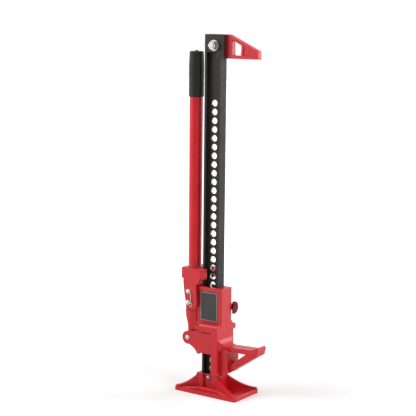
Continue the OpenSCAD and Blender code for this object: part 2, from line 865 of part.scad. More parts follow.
module coil(z, y0, y1) {
    rings = 8 * coil_n;
    sides = 6;
    pts = [for (i = [0:rings]) for (j = [0:sides - 1]) let (a = i * tau / 8,
        b = j * tau / sides, c = coil_point(a, y0, y1))
        [c[0] + wire_d / 2 * cos(b) * cos(a), c[1] + wire_d / 2 * sin(b),
            c[2] + z + wire_d / 2 * cos(b) * sin(a)]];
    walls = [for (i = [0:rings - 1]) for (j = [0:sides - 1]) let (k = (j + 1) % sides)
        [i * sides + j, i * sides + k, (i + 1) * sides + k, (i + 1) * sides + j]];
    ends = [[for (j = [0:sides - 1]) sides - 1 - j], [for (j = [0:sides - 1]) rings * sides + j]];
    gap = min([for (i = [0:rings - 8]) norm(coil_point((i + 8) * tau / 8, y0, y1)
        - coil_point(i * tau / 8, y0, y1))]) - wire_d;
    echo("least gap of a spring to itself", gap);
    polyhedron(points = pts, faces = concat(walls, ends), convexity = 4);
}

module upper_cage() {
    color([0.3, 0.3, 0.3])
        spring_cage(upper_z, box_half + seat_h);
}

module upper_pin() {
    color([0.8, 0.79, 0.76])
        climbing_pin(upper_z, -climb_reach);
}

module upper_cross_pin() {
    color([0.8, 0.79, 0.76])
        cross_pin(upper_z, -climb_reach);
}

module upper_spring() {
    color([0.6, 0.6, 0.6])
        coil(upper_z, collar_y + collar_t, cage_y - slide_gap);
}

// the small runner's rear outline in X and Z
module small_ear_outline() {
    union() {
        translate([-pitman_x, pitman_z])
            circle(r = small_ear_r, $fn = 48);
        translate([-small_back + 2 * slide_gap + lobe_r, small_low])
            circle(r = lobe_r, $fn = 32);
        polygon([[-pitman_x, pitman_z + small_ear_r], [-half_w - slide_gap, small_top],
            [-half_w - slide_gap, small_low], [-small_back, small_low],
            [-small_back - lobe_r, small_low + lobe_r],
            [-pitman_x + small_ear_r / 3, pitman_z - small_ear_r]]);
    }
}

module small_runner() {
    color([0.75, 0.08, 0.1])
        difference() {
            union() {
                translate([0, 0, small_low])
                    linear_extrude(small_top - small_low)
                        skirt_plan(small_back, small_wide_back, small_chamfer / 2,
                            small_ear_half, small_half, small_wide_front);
                slab(0, small_front, slide_gap - leg_in, leg_in - slide_gap, small_low,
                    small_top);
                for (s = [-1, 1])
                    side_plate(s > 0 ? ear_in : -small_ear_half,
                        s > 0 ? small_ear_half : -ear_in)
                        small_ear_outline();
            }
            rack_way(0, 2 * box_top);
            rod_y(-pitman_x, pitman_z, pin_d / 2 + pin_gap, -2 * fork_out, 2 * fork_out);
            rod_y(0, lower_z, climb_d / 2 + pin_gap, 0, 2 * fork_out);
            rod_y(0, lower_z, collar_r + slide_gap, collar_y - collar_t, 2 * fork_out);
        }
}

module pitman_pin() {
    color([0.88, 0.86, 0.8])
        union() {
            rod_y(-pitman_x, pitman_z, pin_d / 2, -small_ear_half,
                small_ear_half + collar_t + thread_proud);
            dome_near(-pitman_x, pitman_z, -small_ear_half);
        }
}

module pitman_ring() {
    color([0.6, 0.6, 0.6])
        difference() {
            rod_y(-pitman_x, pitman_z, collar_r, small_ear_half, small_ear_half + collar_t);
            rod_y(-pitman_x, pitman_z, pin_d / 2 + pin_gap, 0, 2 * fork_out);
        }
}

module lower_cage() {
    color([0.3, 0.3, 0.3])
        spring_cage(lower_z, small_half);
}

module lower_pin() {
    color([0.8, 0.79, 0.76])
        climbing_pin(lower_z, climb_travel - climb_reach);
}

module lower_cross_pin() {
    color([0.8, 0.79, 0.76])
        cross_pin(lower_z, climb_travel - climb_reach);
}

module lower_spring() {
    color([0.6, 0.6, 0.6])
        coil(lower_z, climb_travel + collar_y + collar_t, cage_y - slide_gap);
}

// a socket cheek's outline in X and Z
module cheek_outline() {
    hull() {
        translate([-pivot_x + pin_d, pivot_z])
            circle(r = lobe_front_r, $fn = 48);
        translate([-pivot_x + pin_d / 2, pivot_z - pin_gap])
            circle(r = ear_r, $fn = 48);
        translate([-pivot_x, shear_z])
            circle(r = ear_r, $fn = 48);
        translate([-block_back + pin_d / 2, block_low - pin_d])
            square([block_back - block_front - pin_d / 2, pin_d]);
    }
}

// plan of one fork lug: flush with the block, then tapered to its end
module lug_plan(s) {
    polygon([[-block_front - pin_d, s * lug_in], [-lug_end, s * lug_in],
        [-lug_end, s * lug_out], [-lug_bend, s * fork_out],
        [-block_front - pin_d, s * fork_out]]);
}

module handle_socket() {
    axle = [-tube_x, 0, block_top];
    color([0.75, 0.08, 0.1])
        difference() {
            union() {
                slab(-block_back, -block_front, -fork_out, fork_out, block_low, block_top);
                for (s = [-1, 1]) {
                    side_plate(s > 0 ? fork_in : -fork_out, s > 0 ? fork_out : -fork_in)
                        cheek_outline();
                    rod_y(-pivot_x, shear_z, ear_r - pitman_half / 2,
                        s > 0 ? pitman_half + slide_gap : -fork_in,
                        s > 0 ? fork_in : -pitman_half - slide_gap);
                    translate([0, 0, block_top - lug_h])
                        linear_extrude(lug_h)
                            lug_plan(s);
                    // web under the lug
                    side_plate(s > 0 ? fork_in : -fork_out, s > 0 ? fork_out : -fork_in)
                        polygon([[-block_front - pin_d, block_top - lug_h],
                            [-lug_bend, block_top - lug_h],
                            [-lug_bend - dome_h / 2, block_top - lug_h - pin_d],
                            [-block_front - pin_d, block_low - 2 * pin_d]]);
                }
                translate(axle)
                    cylinder(d = tube_d - 2 * tube_wall - 2 * pin_gap,
                        h = tube_low - block_top + spigot_len, $fn = pin_facets);
                translate(axle)
                    cylinder(d = tube_d - tube_wall / 2, h = tube_low - block_top,
                        $fn = pin_facets);
            }
            rod_y(-pivot_x, pivot_z, pin_d / 2 + pin_gap, -2 * fork_out, 2 * fork_out);
            rod_y(-pivot_x, shear_z, shear_d / 2 + pin_gap, -2 * fork_out, 2 * fork_out);
        }
}

module shear_bolt() {
    color([0.88, 0.86, 0.8])
        union() {
            rod_y(-pivot_x, shear_z, shear_d / 2, -fork_out, fork_out + hex_h + thread_proud);
            dome_near(-pivot_x, shear_z, -fork_out);
        }
}

module shear_nut() {
    color([0.88, 0.86, 0.8])
        difference() {
            hex_y(-pivot_x, shear_z, fork_out, fork_out + hex_h);
            rod_y(-pivot_x, shear_z, shear_d / 2 + pin_gap, 0, 2 * fork_out);
        }
}

module handle_tube() {
    color([0.78, 0.09, 0.11])
        translate([-tube_x, 0, tube_low])
            difference() {
                cylinder(d = tube_d, h = grip_top - grip_cap - tube_low, $fn = 48);
                translate([0, 0, -tube_wall])
                    cylinder(d = tube_d - 2 * tube_wall, h = grip_top, $fn = 48);
            }
}

module handle_grip() {
    bore_r = tube_d / 2 + pin_gap / 2;
    edge = grip_cap / 2;
    nub = grip_cap / 2;
    color([0.12, 0.12, 0.12])
        translate([-tube_x, 0, grip_low])
            rotate_extrude($fn = 48)
                polygon([[bore_r, 0], [grip_d / 2 - edge / 2, 0], [grip_d / 2, edge],
                    [grip_d / 2, grip_len * 0.7], [grip_d / 2 - edge / 2, grip_len - edge],
                    [grip_d / 2 - edge * 1.2, grip_len], [nub * 1.6, grip_len],
                    [nub * 1.6, grip_len + nub], [0, grip_len + nub],
                    [0, grip_len - grip_cap], [bore_r, grip_len - grip_cap]]);
}

// the pitman's bowed path in X and Z, by share of the way down
module pitman() {
    bow_x = -pivot_x - pitman_bow;
    bar = pitman_w / 2;
    color([0.7, 0.08, 0.1])
        side_plate(-pitman_half, pitman_half)
            difference() {
                union() {
                    hull() {
                        translate([-pivot_x, shear_z])
                            circle(r = upper_eye_r, $fn = 40);
                        translate([bow_x + bar / 5, shear_z - crank / 2])
                            circle(r = bar, $fn = 24);
                    }
                    hull() {
                        translate([bow_x + bar / 5, shear_z - crank / 2])
                            circle(r = bar, $fn = 24);
                        translate([bow_x, pivot_z])
                            circle(r = bar, $fn = 24);
                    }
                    hull() {
                        translate([bow_x, pivot_z])
                            circle(r = bar, $fn = 24);
                        translate([bow_x, pivot_z - crank])
                            circle(r = bar, $fn = 24);
                    }
                    hull() {
                        translate([bow_x, pivot_z - crank])
                            circle(r = bar, $fn = 24);
                        translate([-pitman_x - bar / 2, pitman_z + lower_eye_r])
                            circle(r = bar, $fn = 24);
                    }
                    hull() {
                        translate([-pitman_x - bar / 2, pitman_z + lower_eye_r])
                            circle(r = bar, $fn = 24);
                        translate([-pitman_x, pitman_z])
                            circle(r = lower_eye_r, $fn = 40);
                    }
                }
                translate([-pivot_x, shear_z])
                    circle(r = shear_d / 2 + pin_gap, $fn = 32);
                translate([-pitman_x, pitman_z])
                    circle(r = open_r, $fn = 40);
            }
}

module reversing_latch() {
    tip = box_front + slide_gap;
    color([0.45, 0.05, 0.07])
        union() {
            rod_x(latch_y, latch_z, latch_d / 2, latch_back, tip + thumb_t);
            front_plate(tip, tip + thumb_t)
                difference() {
                    translate([latch_y, latch_z])
                        circle(r = thumb_r, $fn = 48);
                    translate([latch_y - thumb_flat - thumb_r, latch_z - thumb_r])
                        square([thumb_r, 2 * thumb_r]);
                }
            // finger that drops behind the end of the upper cross pin
            front_plate(latch_back, latch_back + finger_t)
                polygon([[latch_y - latch_d / 2, latch_z - latch_d / 2],
                    [latch_y + latch_d, latch_z - latch_d / 2],
                    [latch_y + 1.5 * latch_d, upper_z - latch_d / 2],
                    [latch_y + finger_reach, upper_z - latch_d / 2],
                    [latch_y + finger_reach, latch_z + latch_d / 3],
                    [latch_y - latch_d / 2, latch_z + latch_d / 3]]);
            rod_x(latch_y, latch_z, latch_d / 2 + thumb_t, tip + thumb_t,
                tip + thumb_t + finger_t / 2);
        }
}

module latch_ring() {
    color([0.6, 0.6, 0.6])
        difference() {
            rod_x(latch_y, latch_z, latch_d / 2 + finger_t - slide_gap,
                latch_lug_front + slide_gap, latch_lug_front + slide_gap + finger_t);
            rod_x(latch_y, latch_z, latch_d / 2 + pin_gap, 0, 2 * leg_front);
        }
}

rack_bar();
base_plate();
foot_bolt();
foot_nut();
clamp_saddle();
clamp_jaw();
clamp_bolt();
clamp_nut();
clamp_washer_near();
clamp_washer_far();
large_runner();
pivot_pin();
pivot_cotter();
upper_cage();
upper_pin();
upper_cross_pin();
upper_spring();
small_runner();
pitman_pin();
pitman_ring();
lower_cage();
lower_pin();
lower_cross_pin();
lower_spring();
handle_socket();
shear_bolt();
shear_nut();
handle_tube();
handle_grip();
pitman();
reversing_latch();
latch_ring();
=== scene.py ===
import json
import math

import bpy
import numpy as np
from bpy.props import FloatProperty, FloatVectorProperty, IntProperty, PointerProperty
from mathutils import Matrix, Vector


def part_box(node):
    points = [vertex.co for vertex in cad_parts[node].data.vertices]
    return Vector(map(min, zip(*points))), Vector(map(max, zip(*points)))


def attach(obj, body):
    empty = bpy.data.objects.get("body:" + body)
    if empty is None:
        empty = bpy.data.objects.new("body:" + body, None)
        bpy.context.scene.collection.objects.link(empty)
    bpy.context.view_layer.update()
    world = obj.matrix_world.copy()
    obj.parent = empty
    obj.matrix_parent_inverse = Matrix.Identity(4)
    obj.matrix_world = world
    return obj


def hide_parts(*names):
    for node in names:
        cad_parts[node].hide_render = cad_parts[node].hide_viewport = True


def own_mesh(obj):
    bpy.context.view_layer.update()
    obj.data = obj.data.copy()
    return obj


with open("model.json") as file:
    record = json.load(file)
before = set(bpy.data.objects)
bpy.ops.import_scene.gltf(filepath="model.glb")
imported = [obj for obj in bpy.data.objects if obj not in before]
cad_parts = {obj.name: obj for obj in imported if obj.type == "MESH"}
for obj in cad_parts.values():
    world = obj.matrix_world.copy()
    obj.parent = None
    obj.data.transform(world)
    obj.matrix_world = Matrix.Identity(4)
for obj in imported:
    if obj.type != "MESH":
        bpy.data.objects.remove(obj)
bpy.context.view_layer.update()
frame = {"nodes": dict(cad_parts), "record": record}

bl_info = {
    "name": "High lift jack",
    "version": (1, 0, 0),
    "blender": (4, 5, 0),
    "location": "View3D > Sidebar > Jack",
    "description": "Paint, plated steel, vinyl and the stage for a high lift jack",
    "category": "Object",
}

MM = 0.001
FULL_TURN = 2 * math.pi
QUARTER_TURN = math.pi / 2
WHITE = (1, 1, 1, 1)

# The squeeze of a pattern that is alike along X, Y and Z.
ALIKE = (1, 1, 1)

# The middle of a noise texture's range, which holds nearly all of its values.
NOISE_LOW = 0.3
NOISE_HIGH = 0.7

# How strongly paint and vinyl refract, and how metallic plated or turned steel is.
PAINT_IOR = 1.5
VINYL_IOR = 1.52
STEEL_METALLIC = 0.9

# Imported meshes: points this close are merged, faces this flat are joined, and edges
# sharper than this are rounded.
WELD_GAP = 0.01 * MM
FLAT_ANGLE = math.radians(0.5)
SHARP_ANGLE = math.radians(40)

# Points and steps of the added pieces' grids.
CORNER_POINTS = 8
BEAD_SIDES = 8
THREAD_SIDES = 32
ROWS_A_PITCH = 8
CURL_STEPS = 32
WIRE_SIDES = 12

# Ends of the M12 bolts: shank, length that is threaded, and its distance from the tip.
SHANK_RADIUS = 6 * MM
THREAD_LENGTH = 2 * MM
THREAD_SET_BACK = 0.4 * MM

# Lamps: name, place and width in metres. Each one faces the middle of the jack.
LAMP_TARGET = (0, 0, 0.45)
LAMPS = (
    ("key", (-2.3, -1.7, 1.5), 1.6),
    ("fill", (2.7, -0.2, 1.3), 1.8),
    ("top", (0.3, -0.4, 2.8), 1.6),
    ("sheen", (2.2, 2.6, 1.5), 1.8),
)

# Floor: half its width, its tone and roughness, and the distances from the rack between
# which its glow rises to white.
FLOOR_HALF = 12.0
FLOOR_TONE = 0.86
FLOOR_ROUGHNESS = 0.9
GLOW_FROM = 0.3
GLOW_FULL = 2.0

# The width of the camera's sensor, for which the lens is given.
SENSOR_MM = 36


# ---- sizes and colours a user would change

class JackFinish(bpy.types.PropertyGroup):
    """Colours and finishes of the jack."""
    casting_red: FloatVectorProperty(
        name="Casting red", description="Gloss paint on the castings", subtype="COLOR",
        size=3, min=0, max=1, default=(0.52, 0.008, 0.015))
    tube_red: FloatVectorProperty(
        name="Tube red", description="Powder coat on the handle tube", subtype="COLOR",
        size=3, min=0, max=1, default=(0.56, 0.005, 0.014))
    # Painted shade: a darker copy of the casting red on the latch, standing in for the
    # shade on its face.
    latch_red: FloatVectorProperty(
        name="Latch red", description="Darker paint on the reversing latch",
        subtype="COLOR", size=3, min=0, max=1, default=(0.155, 0.005, 0.012))
    rack_black: FloatVectorProperty(
        name="Rack black", description="Satin paint on the rack and the saddle",
        subtype="COLOR", size=3, min=0, max=1, default=(0.0185, 0.0168, 0.0146))
    grip_black: FloatVectorProperty(
        name="Grip black", description="Dipped grip", subtype="COLOR",
        size=3, min=0, max=1, default=(0.0110, 0.0106, 0.0100))
    zinc: FloatVectorProperty(
        name="Zinc", description="Bright plate on the bolts", subtype="COLOR",
        size=3, min=0, max=1, default=(0.45, 0.44, 0.41))
    # Painted shade: a darker copy of the zinc, standing in for the shade and red
    # reflections on the foot bolt by the base.
    foot_shade_zinc: FloatVectorProperty(
        name="Dull zinc", description="Weathered plate on the foot bolt",
        subtype="COLOR", size=3, min=0, max=1, default=(0.25, 0.22, 0.19))
    # Painted highlight: a light steel colour on the rims and walls of the rack's holes,
    # where light falls into them.
    lit_rim_steel: FloatVectorProperty(
        name="Bare steel", description="Rubbed rims and walls of the rack's holes",
        subtype="COLOR", size=3, min=0, max=1, default=(0.42, 0.41, 0.39))
    pin_steel: FloatVectorProperty(
        name="Pin steel", description="Turned steel of the climbing pins",
        subtype="COLOR", size=3, min=0, max=1, default=(0.55, 0.54, 0.52))
    dark_steel: FloatVectorProperty(
        name="Dark steel", description="Blackened steel of the cages", subtype="COLOR",
        size=3, min=0, max=1, default=(0.07, 0.07, 0.07))
    spring_steel: FloatVectorProperty(
        name="Spring steel", description="Wire of the climbing springs",
        subtype="COLOR", size=3, min=0, max=1, default=(0.40, 0.40, 0.39))
    plate_grey: FloatVectorProperty(
        name="Plate grey", description="Bare name plate", subtype="COLOR",
        size=3, min=0, max=1, default=(0.024, 0.022, 0.020))
    bead_metal: FloatVectorProperty(
        name="Bead metal", description="Bright bead on the name plate",
        subtype="COLOR", size=3, min=0, max=1, default=(0.5, 0.5, 0.49))
    casting_grain: FloatProperty(
        name="Casting grain", description="Size of the sand texture under the paint",
        subtype="DISTANCE", min=0.5 * MM, max=10 * MM, default=3 * MM)
    peel_grain: FloatProperty(
        name="Peel grain", description="Size of the paint's orange peel",
        subtype="DISTANCE", min=0.3 * MM, max=5 * MM, default=1.2 * MM)


class JackSizes(bpy.types.PropertyGroup):
    """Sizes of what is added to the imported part."""
    casting_edge: FloatProperty(
        name="Casting edge", description="Edge radius of the castings",
        subtype="DISTANCE", min=0, max=4 * MM, default=0.9 * MM)
    steel_edge: FloatProperty(
        name="Steel edge", description="Edge radius of the rack and the hardware",
        subtype="DISTANCE", min=0, max=2 * MM, default=0.5 * MM)
    fastener_edge: FloatProperty(
        name="Fastener edge", description="Edge radius of bolts, nuts and washers",
        subtype="DISTANCE", min=0, max=1 * MM, default=0.3 * MM)
    plate_width: FloatProperty(
        name="Plate width", description="Name plate along the load direction",
        subtype="DISTANCE", min=30 * MM, max=60 * MM, default=54 * MM)
    plate_height: FloatProperty(
        name="Plate height", description="Name plate up the runner",
        subtype="DISTANCE", min=40 * MM, max=80 * MM, default=76 * MM)
    plate_x: FloatProperty(
        name="Plate place", description="Plate's centre ahead of the rack axis",
        subtype="DISTANCE", min=-10 * MM, max=10 * MM, default=0.3 * MM)
    plate_floor: FloatProperty(
        name="Recess floor", description="Recess floor from the middle plane",
        subtype="DISTANCE", min=15 * MM, max=24 * MM, default=19 * MM)
    plate_drop: FloatProperty(
        name="Plate drop", description="Plate's centre below the runner's top",
        subtype="DISTANCE", min=40 * MM, max=60 * MM, default=50 * MM)
    plate_round: FloatProperty(
        name="Plate corner", description="Corner radius of the name plate",
        subtype="DISTANCE", min=1 * MM, max=10 * MM, default=4 * MM)
    plate_thick: FloatProperty(
        name="Plate thickness", description="Name plate thickness",
        subtype="DISTANCE", min=0.2 * MM, max=2 * MM, default=0.6 * MM)
    bead_inset: FloatProperty(
        name="Bead inset", description="Distance of the plate's bead from its edge",
        subtype="DISTANCE", min=1 * MM, max=6 * MM, default=2.2 * MM)
    bead_radius: FloatProperty(
        name="Bead radius", description="Section radius of the plate's bead",
        subtype="DISTANCE", min=0.1 * MM, max=1 * MM, default=0.35 * MM)
    thread_pitch: FloatProperty(
        name="Thread pitch", description="Pitch of the M12 threads",
        subtype="DISTANCE", min=1 * MM, max=2.5 * MM, default=1.75 * MM)
    thread_depth: FloatProperty(
        name="Thread depth", description="Height of the thread over the shank",
        subtype="DISTANCE", min=0.1 * MM, max=0.6 * MM, default=0.25 * MM)
    spring_wire: FloatProperty(
        name="Spring wire", description="Wire diameter of the climbing springs",
        subtype="DISTANCE", min=1 * MM, max=1.8 * MM, default=1.4 * MM)
    spring_curls: IntProperty(
        name="Spring curls", description="Curls in each climbing spring", min=4, max=6,
        default=5)
    hole_pitch: FloatProperty(
        name="Hole pitch", description="Spacing of the rack's holes",
        subtype="DISTANCE", min=20 * MM, max=28 * MM, default=22 * MM)
    hole_first: FloatProperty(
        name="Lowest hole", description="Height of the rack's lowest hole",
        subtype="DISTANCE", min=30 * MM, max=44 * MM, default=36 * MM)
    hole_radius: FloatProperty(
        name="Hole radius", description="Radius of the rack's holes",
        subtype="DISTANCE", min=7 * MM, max=10 * MM, default=8.25 * MM)
    hole_count: IntProperty(
        name="Holes", description="Number of the rack's holes", min=20, max=46,
        default=33)


class JackStage(bpy.types.PropertyGroup):
    """Camera, lamps and floor."""
    lens: FloatProperty(
        name="Lens", description="Focal length on a 36 mm sensor", min=20, max=300,
        default=109.41)
    distance: FloatProperty(
        name="Distance", description="Camera from the rack on the ground plan",
        subtype="DISTANCE", min=1, max=8, default=3.150)
    height: FloatProperty(
        name="Height", description="Camera above the ground", subtype="DISTANCE",
        min=0, max=3, default=0.9714)
    azimuth: FloatProperty(
        name="Azimuth", description="Camera place round the rack", subtype="ANGLE",
        default=math.radians(34.927))
    yaw: FloatProperty(
        name="Yaw", description="Turn of the camera off the rack", subtype="ANGLE",
        default=math.radians(0.281))
    pitch: FloatProperty(
        name="Pitch", description="Downward tilt of the camera", subtype="ANGLE",
        default=math.radians(8.948))
    roll: FloatProperty(
        name="Roll", description="Roll of the camera", subtype="ANGLE",
        default=math.radians(0.576))
    key_power: FloatProperty(
        name="Key", description="Large lamp on the handle's side", subtype="POWER",
        min=0, max=1000, default=64)
    fill_power: FloatProperty(
        name="Fill", description="Large lamp on the nose's side", subtype="POWER",
        min=0, max=1000, default=34)
    top_power: FloatProperty(
        name="Top", description="Lamp overhead", subtype="POWER", min=0, max=1000,
        default=24)
    sheen_power: FloatProperty(
        name="Sheen", description="Lamp behind, for the gloss on the front faces",
        subtype="POWER", min=0, max=1000, default=60)
    ambient: FloatProperty(
        name="Ambient", description="Even light from all round", min=0, max=2,
        default=0.26)
    floor_lift: FloatProperty(
        name="Floor lift", description="Glow added to the floor near the jack, as seen",
        min=0, max=1, default=0.12)


def finish():
    """The scene's colours and grains."""
    return bpy.context.scene.jack_finish


def sizes():
    """The scene's sizes."""
    return bpy.context.scene.jack_sizes


# ---- materials

class Recipe:
    """A material under construction, patterned on Object coordinates in metres."""

    def __init__(self, name):
        self.material = bpy.data.materials.new(name)
        self.material.use_nodes = True
        self.tree = self.material.node_tree
        self.shader = self.tree.nodes["Principled BSDF"]
        self.place = self.node("ShaderNodeTexCoord").outputs["Object"]
        self.normal = None

    def node(self, kind, **settings):
        """A new node with its own settings, such as its operation."""
        made = self.tree.nodes.new(kind)
        for key, value in settings.items():
            setattr(made, key, value)
        return made

    def join(self, source, target):
        """Links one socket to another."""
        self.tree.links.new(source, target)

    def feed(self, name, source):
        """Links a pattern to the shader's socket of that name."""
        self.join(source, self.shader.inputs[name])

    def put(self, **values):
        """Sets the shader's own sockets; an underscore stands for a space."""
        for key, value in values.items():
            self.shader.inputs[key.replace("_", " ")].default_value = value

    def grain(self, size, detail=3.0, squeeze=ALIKE):
        """Noise whose features are about as large as size.

        Squeeze divides their length along X, Y and Z, so below 1 it draws them out.
        """
        mapping = self.node("ShaderNodeMapping")
        mapping.inputs["Scale"].default_value = squeeze
        noise = self.node("ShaderNodeTexNoise")
        noise.inputs["Scale"].default_value = 1 / size
        noise.inputs["Detail"].default_value = detail
        self.join(self.place, mapping.inputs["Vector"])
        self.join(mapping.outputs["Vector"], noise.inputs["Vector"])
        return noise.outputs["Fac"]

    def varied(self, size, low, high, detail=3.0, squeeze=ALIKE):
        """A grain with the middle of its range spread from low to high."""
        noise = self.grain(size, detail, squeeze)
        spread = self.node("ShaderNodeMapRange")
        spread.inputs["From Min"].default_value = NOISE_LOW
        spread.inputs["From Max"].default_value = NOISE_HIGH
        spread.inputs["To Min"].default_value = low
        spread.inputs["To Max"].default_value = high
        self.join(noise, spread.inputs["Value"])
        return spread.outputs["Result"]

    def sum(self, operation, first, second=0.0):
        """One step of arithmetic on sockets or plain numbers."""
        made = self.node("ShaderNodeMath", operation=operation)
        for socket, value in zip(made.inputs, (first, second)):
            if isinstance(value, (int, float)):
                socket.default_value = value
            else:
                self.join(value, socket)
        return made.outputs[0]

    def blend(self, factor, first, second):
        """One colour turning into the other as the factor goes from 0 to 1."""
        mix = self.node("ShaderNodeMix", data_type="RGBA")
        self.join(factor, mix.inputs["Factor"])
        for socket, value in ((mix.inputs["A"], first), (mix.inputs["B"], second)):
            if isinstance(value, (tuple, list)):
                socket.default_value = (*value, 1)
            else:
                self.join(value, socket)
        return mix.outputs["Result"]

    def drifting(self, colour, size, low, high, detail=3.0):
        """A colour that drifts between a darker and a lighter share of itself."""
        tone = self.varied(size, 0, 1, detail)
        return self.blend(tone, shade(colour, low), shade(colour, high))

    def relief(self, source, height):
        """Adds a relief of that height to what the surface has already."""
        bump = self.node("ShaderNodeBump")
        bump.inputs["Strength"].default_value = 1
        bump.inputs["Distance"].default_value = height
        self.join(source, bump.inputs["Height"])
        if self.normal is not None:
            self.join(self.normal, bump.inputs["Normal"])
        self.normal = bump.outputs["Normal"]

    def done(self):
        """Links the reliefs to the shader and gives the material."""
        if self.normal is not None:
            self.feed("Normal", self.normal)
        return self.material


def shade(colour, share):
    """The same colour, lighter or darker by a share."""
    return tuple(min(1.0, c * share) for c in colour)


def painted(name, colour, grain, rough=0.34, coat=0.08, relief=0.05 * MM, even=False,
            shine=0.28):
    """Paint over a surface whose relief is as fine as grain.

    Its tone drifts slowly. Unless it is even, its gloss drifts too and it has orange
    peel.
    """
    tone_drift, gloss_drift, peel_height = 60 * MM, 18 * MM, 0.02 * MM
    recipe = Recipe(name)
    recipe.feed("Base Color", recipe.drifting(colour, tone_drift, 0.90, 1.10, detail=4))
    if even:
        recipe.put(Roughness=rough)
    else:
        recipe.feed("Roughness", recipe.varied(gloss_drift, rough - 0.05, rough + 0.07))
    recipe.put(Coat_Weight=coat, Coat_Roughness=0.15, IOR=PAINT_IOR,
               Specular_IOR_Level=shine)
    recipe.relief(recipe.grain(grain), relief)
    if not even:
        recipe.relief(recipe.grain(finish().peel_grain, detail=1), peel_height)
    return recipe.done()


def rack_paint():
    """Satin black; the walls and rims of the punched holes get light steel, a painted
    highlight.

    A point is lit steel where its distance from the nearest hole's axis is under the
    hole's radius and a ragged margin. The nearest hole is the height in pitches,
    rounded.
    radius and a ragged margin. The nearest hole is the height in pitches, rounded.
    """
    tone_drift, gloss_drift, margin_grain = 50 * MM, 14 * MM, 4 * MM
    margin_in, margin_out = -0.05 * MM, 0.08 * MM
    paint_grain, paint_height = 2 * MM, 0.03 * MM
    half_pitch = 0.5
    recipe = Recipe("rack_black_satin")
    size = sizes()
    split = recipe.node("ShaderNodeSeparateXYZ")
    recipe.join(recipe.place, split.inputs["Vector"])
    along = recipe.sum("SUBTRACT", split.outputs["Z"], size.hole_first)
    pitches = recipe.sum("DIVIDE", along, size.hole_pitch)
    off = recipe.sum("SUBTRACT", pitches, recipe.sum("ROUND", pitches))
    rise = recipe.sum("MULTIPLY", off, size.hole_pitch)
    square = recipe.sum("ADD", recipe.sum("POWER", rise, 2.0),
                        recipe.sum("POWER", split.outputs["X"], 2.0))
    radius = recipe.sum("SQRT", square)
    ragged = recipe.varied(margin_grain, margin_in, margin_out)
    edge = recipe.sum("ADD", ragged, size.hole_radius)
    below_top = recipe.sum("LESS_THAN", pitches, size.hole_count - half_pitch)
    # Painted highlight: inside this mask the rims and walls of the holes turn to light,
    # metallic steel.
    lit_rim = recipe.sum("MULTIPLY", recipe.sum("LESS_THAN", radius, edge), below_top)
    paint = recipe.drifting(finish().rack_black, tone_drift, 0.85, 1.25)
    recipe.feed("Base Color", recipe.blend(lit_rim, paint, tuple(finish().lit_rim_steel)))
    recipe.feed("Metallic", recipe.sum("MULTIPLY", lit_rim, 0.75))
    recipe.feed("Roughness", recipe.varied(gloss_drift, 0.40, 0.54))
    recipe.put(IOR=PAINT_IOR, Specular_IOR_Level=0.17)
    recipe.relief(recipe.grain(paint_grain), paint_height)
    return recipe.done()


def metal(name, colour, rough, squeeze=ALIKE):
    """Plated or turned steel: fine tool marks, squeezed along an axis if turned."""
    tone_grain, gloss_grain = 6 * MM, 2 * MM
    mark_grain, mark_height = 0.8 * MM, 0.01 * MM
    recipe = Recipe(name)
    recipe.feed("Base Color", recipe.drifting(colour, tone_grain, 0.90, 1.06))
    recipe.feed("Roughness", recipe.varied(gloss_grain, rough - 0.06, rough + 0.08,
                                           squeeze=squeeze))
    recipe.put(Metallic=STEEL_METALLIC)
    recipe.relief(recipe.grain(mark_grain, 2, squeeze), mark_height)
    return recipe.done()


def vinyl(name, colour):
    """Dipped vinyl: a soft sheen, a fine skin and slow sags drawn out down the grip."""
    tone_drift, gloss_drift = 25 * MM, 9 * MM
    sag_grain, sag_height, sag_squeeze = 12 * MM, 0.12 * MM, (1, 1, 0.4)
    skin_grain, skin_height = 0.9 * MM, 0.015 * MM
    recipe = Recipe(name)
    recipe.feed("Base Color", recipe.drifting(colour, tone_drift, 0.8, 1.3))
    recipe.feed("Roughness", recipe.varied(gloss_drift, 0.46, 0.58))
    recipe.put(IOR=VINYL_IOR, Specular_IOR_Level=0.16)
    recipe.relief(recipe.grain(sag_grain, 2, sag_squeeze), sag_height)
    recipe.relief(recipe.grain(skin_grain, 2), skin_height)
    return recipe.done()


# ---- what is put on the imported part

def nodes_in(slot):
    """The CAD nodes whose finish the record puts in this slot."""
    found = [frame["nodes"][part["node"]] for part in frame["record"]["subparts"]
             if part["material_slot"] == slot]
    if not found:
        raise RuntimeError("no CAD node has the material slot " + slot)
    return found


def soften(thing, edge):
    """Rounds a CAD node's sharp edges, after its loose triangles are joined up."""
    weld = thing.modifiers.new("weld", "WELD")
    weld.merge_threshold = WELD_GAP
    flat = thing.modifiers.new("flat", "DECIMATE")
    flat.decimate_type = "DISSOLVE"
    flat.angle_limit = FLAT_ANGLE
    bevel = thing.modifiers.new("edge", "BEVEL")
    bevel.width = edge
    bevel.segments = 2
    bevel.limit_method = "ANGLE"
    bevel.angle_limit = SHARP_ANGLE
    bevel.loop_slide = False
    bevel.harden_normals = True


def dress(slot, material, edge=0):
    """Gives a slot's CAD nodes their material and, where asked, rounded edges."""
    for thing in nodes_in(slot):
        for holder in thing.material_slots:
            holder.material = material
        if edge > 0:
            soften(thing, edge)


def repaint(names, material):
    """Gives single CAD nodes a finish of their own, in place of their slot's."""
    for name in names:
        for holder in frame["nodes"][name].material_slots:
            holder.material = material


def add_piece(name, points, faces, body, material):
    """A new piece from its points and faces, riding on a body."""
    mesh = bpy.data.meshes.new(name)
    mesh.from_pydata(points.reshape(-1, 3).tolist(), [], faces)
    mesh.materials.append(material)
    mesh.update()
    piece = bpy.data.objects.new(name, mesh)
    bpy.context.scene.collection.objects.link(piece)
    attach(piece, body)
    return piece


def circle(count):
    """Angles at even steps round a full turn, which they don't repeat."""
    return np.linspace(0, FULL_TURN, count + 1)[:-1]


